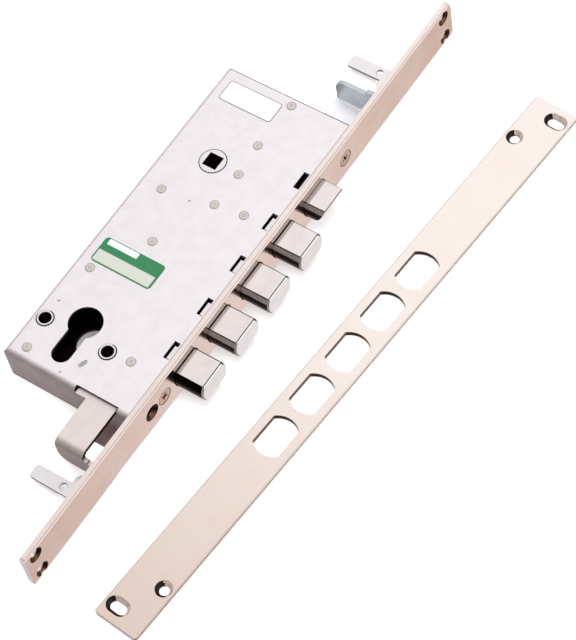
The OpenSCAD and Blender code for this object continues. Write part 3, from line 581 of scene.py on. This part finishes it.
# Copies of one piece on the points of a mesh, with a size and a turn for each point
spreadTree = bpy.data.node_groups.new("spreadPieces", "GeometryNodeTree")
spreadTree.interface.new_socket("Points", in_out="INPUT", socket_type="NodeSocketGeometry")
pieceSocket = spreadTree.interface.new_socket("Piece", in_out="INPUT", socket_type="NodeSocketObject")
finishSocket = spreadTree.interface.new_socket("Finish", in_out="INPUT",
                                               socket_type="NodeSocketMaterial")
spreadTree.interface.new_socket("Pieces", in_out="OUTPUT", socket_type="NodeSocketGeometry")
groupIn = addNode(spreadTree, "NodeGroupInput")
info = addNode(spreadTree, "GeometryNodeObjectInfo", {"Object": groupIn.outputs["Piece"]})
sizes, turns = [
    addNode(spreadTree, "GeometryNodeInputNamedAttribute", data_type="FLOAT_VECTOR", Name=name)
    for name in ("pieceSize", "pieceTurn")]
onPoints = addNode(spreadTree, "GeometryNodeInstanceOnPoints",
                   {"Points": groupIn.outputs["Points"], "Instance": info.outputs["Geometry"],
                    "Scale": sizes.outputs["Attribute"], "Rotation": turns.outputs["Attribute"]})
real = addNode(spreadTree, "GeometryNodeRealizeInstances", {"Geometry": onPoints.outputs["Instances"]})
paint = addNode(spreadTree, "GeometryNodeSetMaterial",
                {"Geometry": real.outputs["Geometry"], "Material": groupIn.outputs["Finish"]})
addNode(spreadTree, "NodeGroupOutput", {"Pieces": paint.outputs["Geometry"]})


# places: (point in mm, size, turn in radians) for each copy. Returns one plain mesh object
def spread(name, piece, places, material):
    mesh = bpy.data.meshes.new(name)
    mesh.from_pydata([Vector(p[0]) * mm for p in places], [], [])
    for key, column in (("pieceSize", 1), ("pieceTurn", 2)):
        layer = mesh.attributes.new(key, "FLOAT_VECTOR", "POINT")
        for i, place in enumerate(places):
            layer.data[i].vector = place[column]
    obj = bpy.data.objects.new(name, mesh)
    bpy.context.scene.collection.objects.link(obj)
    mod = obj.modifiers.new("spread", "NODES")
    mod.node_group = spreadTree
    mod[pieceSocket.identifier] = piece
    mod[finishSocket.identifier] = material
    bake(obj)
    bpy.data.objects.remove(piece)
    return obj


# Turned solid round Z from (radius, height) points in mm, closed on the axis
def lathe(name, profile, steps=48):
    bm = bmesh.new()
    rings = []
    for radius, height in profile:
        if radius == 0:
            rings.append([bm.verts.new((0, 0, height * mm))])
        else:
            angles = [2 * math.pi * i / steps for i in range(steps)]
            rings.append([bm.verts.new((radius * mm * math.cos(a), radius * mm * math.sin(a),
                                        height * mm)) for a in angles])
    for low, high in zip(rings, rings[1:]):
        for i in range(steps):
            j = (i + 1) % steps
            corners = [low[i % len(low)], low[j % len(low)], high[j % len(high)], high[i % len(high)]]
            unique = list(dict.fromkeys(corners))
            if len(unique) > 2:
                bm.faces.new(unique)
    bmesh.ops.recalc_face_normals(bm, faces=bm.faces)
    return plainObject(name, bm)


def smooth(obj, angle=35):
    obj.data.shade_smooth()
    obj.data.set_sharp_from_angle(angle=math.radians(angle))
    return obj


# Bolts: one bolt, cut across near the faceplate and within its chamfer, put at each of the four places
rimCut, chamferCut = 52.5, 68.1
boltBm = nodeMesh("deadbolt_1")
clean(boltBm)
for place in (rimCut, chamferCut):
    cutAcross(boltBm, place, (1, 0, 0))
boltPiece = rounded(plainObject("boltPiece", boltBm), 0.35, angle=20, segments=3)
boltPlaces = [((0, boltPitch * k, 0), fullSize, (0, 0, 0)) for k in range(4)]
boltsObj = spread("deadBolts", boltPiece, boltPlaces, boltNickel)
boltNodes = ["deadbolt_%d" % k for k in (1, 2, 3, 4)]
# Painted shade and dark reflections: thin edges round the near flat, the rim by the faceplate and the
# lowest part of the round sides
finished(boltsObj, boltNickel, "bolts", "bright_nickel", *boltNodes, zones=[
    (boltShade, lambda p, n: (n.y > 0.3 and 16.6 < p.z and n.z < facing)
     or (0.6 < n.z < 0.97 and n.x > 0.2 and p.x < chamferCut) or (n.z > facing and p.x < rimCut)
     or (n.y < -0.12 and 0.6 < n.z < 0.97 and n.x < 0.2)
     or (n.y < -0.3 and n.x < 0.3 and (p.z < 15.6 or p.y < 20))),
    (tipNickel, lambda p, n: 0.5 < n.z <= 0.75 and n.x > 0.5),
    (boltSide, lambda p, n: abs(n.z) < facing and abs(n.x) < facing),
    (tipNickel, lambda p, n: n.x > facing)])
print("bolts", len(boltsObj.data.vertices), "vertices")

# Upset rivet ends on the near side: a ring pressed round a slightly domed end
rivetPiece = smooth(lathe("rivetPiece", [
    (0, -0.4), (2.62, -0.4), (2.62, 0.1), (2.55, 0.18), (2.4, 0.2), (2.32, 0.165), (2.16, 0.165),
    (2.06, 0.22), (1.5, 0.24), (0.95, 0.235), (0.88, 0.17), (0.74, 0.17), (0.68, 0.23), (0, 0.22)]), 20)
rivetsObj = spread("rivetEnds", rivetPiece,
                   [((x, y, 23.5), fullSize, (0, 0, 0.7 * k)) for k, (x, y) in enumerate(rivetEnds)],
                   rivetSteel)
# The pressed rings and the sides of the rivet ends get painted shade
finished(rivetsObj, rivetSteel, "case", "rivet_steel",
         zones=[(ringSteel, lambda p, n: p.z < 23.6 or (p.z < 23.672 and n.z > 0.9))])

# Ridges of the small oval mark near the lower edge, painted darker grey for the shade in the mark
ridgeBm = bmesh.new()
bmesh.ops.create_cube(ridgeBm, size=1)
bmesh.ops.bevel(ridgeBm, geom=ridgeBm.edges, offset=0.18, segments=2, affect="EDGES")
ridgePiece = smooth(plainObject("ridgePiece", ridgeBm))
markTurn, ridgeStep, markHalf = math.radians(68), 0.68, 2.5
ridges = []
for k in range(-3, 4):
    along = Vector((math.cos(markTurn), math.sin(markTurn), 0)) * ridgeStep * k
    half = math.sqrt(max(0.05, 1 - (k * ridgeStep / markHalf) ** 2))
    ridges.append(((12.6 + along.x, -19.2 + along.y, 23.28), (0.34 * mm, 2 * half * mm, 0.3 * mm),
                   (0, 0, markTurn)))
ridgesObj = spread("markRidges", ridgePiece, ridges, innerSteel)
finished(ridgesObj, innerSteel, "case", "case_steel")

# Faceplate screws: countersunk head with a cross recess
screwPiece = smooth(lathe("screwPiece", [
    (0, -16), (1.8, -16), (2.42, -15.2), (2.42, -2.4), (4.5, -0.22), (4.6, -0.1), (4.5, -0.02),
    (4.2, 0), (0, 0)]), 25)
for turn in (0, math.pi / 2):
    wedgeBm = bmesh.new()
    bmesh.ops.create_cone(wedgeBm, cap_ends=True, segments=4, radius1=0.25 * mm, radius2=1.0 * mm,
                          depth=2.2 * mm)
    wedge = plainObject("wedge", wedgeBm)
    wedge.data.transform(Matrix.Translation((0, 0, -0.7 * mm)) @ Matrix.Rotation(turn, 4, "Z")
                         @ Matrix.Diagonal((3.6, 0.8, 1, 1)) @ Matrix.Rotation(math.pi / 4, 4, "Z"))
    joinInto(screwPiece, wedge, "DIFFERENCE")
screwPiece.data.transform(Matrix.Rotation(math.pi / 2, 4, "Y"))
screwPiece = rounded(cleaned(screwPiece, 0.2), 0.1, angle=35, segments=2)
screwPlaces = [((51.9, 148.7, 12), fullSize, (0.35, 0, 0)), ((51.9, -9.5, 12), fullSize, (1.05, 0, 0))]
screwsObj = spread("faceScrews", screwPiece, screwPlaces, screwNickel)
# Painted shade on the screws below the top of their heads, in the recess too
finished(screwsObj, screwNickel, "case", "satin_nickel", "faceplate_screws",
         zones=[(shadeSteel, lambda p, n: p.x < 51.75)])
print("repeated pieces ready")

# Nodes that stay as they are and only get their finish
keptFinish = {
    "pillars": rivetSteel, "guide_studs": rivetSteel, "screw_blocks": innerSteel,
    "carriage_pins": innerSteel, "pinion": innerSteel, "pinion_axle": rivetSteel,
    "detent_leaf": innerSteel, "latch_pin": innerSteel, "latch_spring": springWire,
    "follower_spring": springWire, "blank_sticker": whiteFilm, "green_label": greenFilm}
for name, material in keptFinish.items():
    obj = nodes[name]
    if obj.material_slots:
        for slot in obj.material_slots:
            slot.material = material
    else:
        obj.data.materials.append(material)

# Floor: plain and white, kept out of the metals' reflections
floorBm = bmesh.new()
bmesh.ops.create_grid(floorBm, x_segments=1, y_segments=1, size=4)
floor = plainObject("floor", floorBm)
floor.location.z = -0.0002
floorMat, floorTree, floorShader, floorPlace = newMaterial("floorWhite")
floorShader.inputs["Base Color"].default_value = (0.9, 0.9, 0.9, 1)
floorShader.inputs["Roughness"].default_value = 0.9
floorShader.inputs["Specular IOR Level"].default_value = 0.0
floorShader.inputs["Emission Color"].default_value = (1, 1, 1, 1)
# It glows a little, so that no shadow greys it, though not under the case
caseMiddle = (0.01, 0.065, 0)
under = addNode(floorTree, "ShaderNodeVectorMath", {0: floorPlace}, operation="SUBTRACT")
under.inputs[1].default_value = caseMiddle
offset = addNode(floorTree, "ShaderNodeSeparateXYZ", {"Vector": under.outputs[0]})
edges = []
for axis, half in (("X", 0.034), ("Y", 0.094)):
    size = addNode(floorTree, "ShaderNodeMath", {0: offset.outputs[axis]}, operation="ABSOLUTE")
    edge = addNode(floorTree, "ShaderNodeMapRange", {"Value": size.outputs[0]},
                   From_Min=half - 0.004, From_Max=half, To_Min=0.0, To_Max=0.35)
    edges.append(edge.outputs["Result"])
glow = addNode(floorTree, "ShaderNodeMath", {0: edges[0], 1: edges[1]}, operation="MAXIMUM")
# More of it in the gap between the lower strap and the faceplate
gapMiddle = (0.039, -0.042, 0)
gap = addNode(floorTree, "ShaderNodeVectorMath", {0: floorPlace}, operation="DISTANCE")
gap.inputs[1].default_value = gapMiddle
gapGlow = addNode(floorTree, "ShaderNodeMapRange", {"Value": gap.outputs["Value"]},
                  From_Min=0.012, From_Max=0.018, To_Min=0.7, To_Max=0.0)
glow = addNode(floorTree, "ShaderNodeMath", {0: glow.outputs[0], 1: gapGlow.outputs["Result"]},
               operation="ADD")
floorTree.links.new(glow.outputs[0], floorShader.inputs["Emission Strength"])
floor.data.materials.append(floorMat)
floor.visible_glossy = False

# Studio: light falls by direction, dark towards the near side, warm and dimmer below
world = bpy.data.worlds.new("studio")
bpy.context.scene.world = world
world.use_nodes = True
wt = world.node_tree
wt.nodes.clear()
way = addNode(wt, "ShaderNodeTexCoord").outputs["Generated"]
axes = addNode(wt, "ShaderNodeSeparateXYZ", {"Vector": way})
level = addNode(wt, "ShaderNodeMapRange", {"Value": axes.outputs["Y"]}, From_Min=-1.0, From_Max=1.0)


# Colour by the direction's part along Y, from (y, red, green, blue) stops
def rampOf(stops):
    node = addNode(wt, "ShaderNodeValToRGB", {"Fac": level.outputs["Result"]})
    elements = node.color_ramp.elements
    elements[0].position, elements[1].position = 0.0, 1.0
    for _ in range(len(stops) - 2):
        elements.new(0.5)
    for element, (y, *colour) in zip(elements, stops):
        element.position = (y + 1) / 2
        element.color = (*colour, 1)
    return node.outputs["Color"]


above = rampOf([(-1, 0.01, 0.01, 0.01), (-0.9, 0.012, 0.01, 0.01), (-0.76, 0.04, 0.03, 0.03),
                (-0.52, 0.28, 0.24, 0.24), (-0.33, 0.6, 0.56, 0.56), (0, 0.82, 0.8, 0.8),
                (0.24, 0.97, 0.95, 0.95), (0.37, 1.03, 1.01, 1.01), (0.52, 1.12, 1.1, 1.1),
                (0.8, 0.85, 0.84, 0.84), (1, 0.6, 0.6, 0.6)])
below = rampOf([(-1, 0.01, 0.01, 0.01), (-0.84, 0.03, 0.02, 0.02), (-0.6, 0.12, 0.1, 0.1),
                (-0.37, 0.32, 0.27, 0.275), (-0.1, 0.4, 0.34, 0.33), (0.1, 0.55, 0.44, 0.41),
                (0.23, 0.70, 0.56, 0.51), (0.36, 0.90, 0.81, 0.79), (0.5, 0.70, 0.56, 0.50),
                (0.8, 0.5, 0.42, 0.4), (1, 0.3, 0.26, 0.25)])
height = addNode(wt, "ShaderNodeMapRange", {"Value": axes.outputs["Z"]}, From_Min=-0.35, From_Max=0.3,
                 interpolation_type="SMOOTHSTEP")
lit = addNode(wt, "ShaderNodeMix", {"Factor": height.outputs["Result"]}, data_type="RGBA")
wt.links.new(below, lit.inputs[6])
wt.links.new(above, lit.inputs[7])

# Towards +X the upper part is dark and low on the right it is bright again
mostLight = 1.25
sideLevel = addNode(wt, "ShaderNodeMapRange", {"Value": axes.outputs["X"]}, From_Min=-1.0, From_Max=1.0)
sideUp = addNode(wt, "ShaderNodeFloatCurve", {"Value": sideLevel.outputs["Result"]})
sideDown = addNode(wt, "ShaderNodeFloatCurve", {"Value": sideLevel.outputs["Result"]})
upPoints = [(-1, 0.5), (-0.62, 0.6), (-0.5, 1.0), (0.05, 1.0), (0.22, 0.55), (0.48, 0.5), (0.66, 0.85),
            (0.85, 1.2), (1, 1.2)]
downPoints = [(-1, 0.45), (-0.75, 0.5), (-0.5, 1.0), (1, 1.0)]
for node, points in ((sideUp, upPoints), (sideDown, downPoints)):
    curve = node.mapping.curves[0]
    while len(curve.points) < len(points):
        curve.points.new(0.5, 0.5)
    for point, (x, value) in zip(curve.points, points):
        point.location = ((x + 1) / 2, value / mostLight)
        point.handle_type = "VECTOR"
    node.mapping.update()
side = addNode(wt, "ShaderNodeMix", {"Factor": height.outputs["Result"]}, data_type="FLOAT")
wt.links.new(sideDown.outputs["Value"], side.inputs[2])
wt.links.new(sideUp.outputs["Value"], side.inputs[3])
strength = addNode(wt, "ShaderNodeMath", operation="MULTIPLY")
wt.links.new(side.outputs[0], strength.inputs[0])
strength.inputs[1].default_value = mostLight
back = addNode(wt, "ShaderNodeBackground")
wt.links.new(lit.outputs[2], back.inputs["Color"])
wt.links.new(strength.outputs[0], back.inputs["Strength"])
addNode(wt, "ShaderNodeOutputWorld", {"Surface": back.outputs["Background"]})


# A round lamp that the metals don't mirror
def softLight(name, place, aim, size, power):
    data = bpy.data.lights.new(name, "AREA")
    data.shape = "DISK"
    data.size = size
    data.energy = power
    obj = bpy.data.objects.new(name, data)
    obj.location = place
    obj.rotation_euler = (Vector(aim) - Vector(place)).to_track_quat("-Z", "Y").to_euler()
    obj.visible_glossy = False
    bpy.context.scene.collection.objects.link(obj)


softLight("overhead", (-0.1, 0.3, 1.7), (0.03, 0.05, 0), 1.6, 26)
softLight("fill", (0.9, -0.5, 1.2), (0.03, 0.05, 0), 1.0, 8)

# Camera as fitted to the photograph
camera = bpy.data.objects.new("camera", bpy.data.cameras.new("camera"))
camera.location = (0.517607, -0.380577, 1.011460)
camera.rotation_euler = Euler([math.radians(a) for a in (31.05961, 6.82383, 33.95447)], "XYZ")
camera.data.lens = 136.62772
camera.data.sensor_width = 36
camera.data.clip_start = 0.05
bpy.context.scene.collection.objects.link(camera)
bpy.context.scene.camera = camera
bpy.context.scene.view_settings.view_transform = "Standard"
print("stage, lights and camera ready")
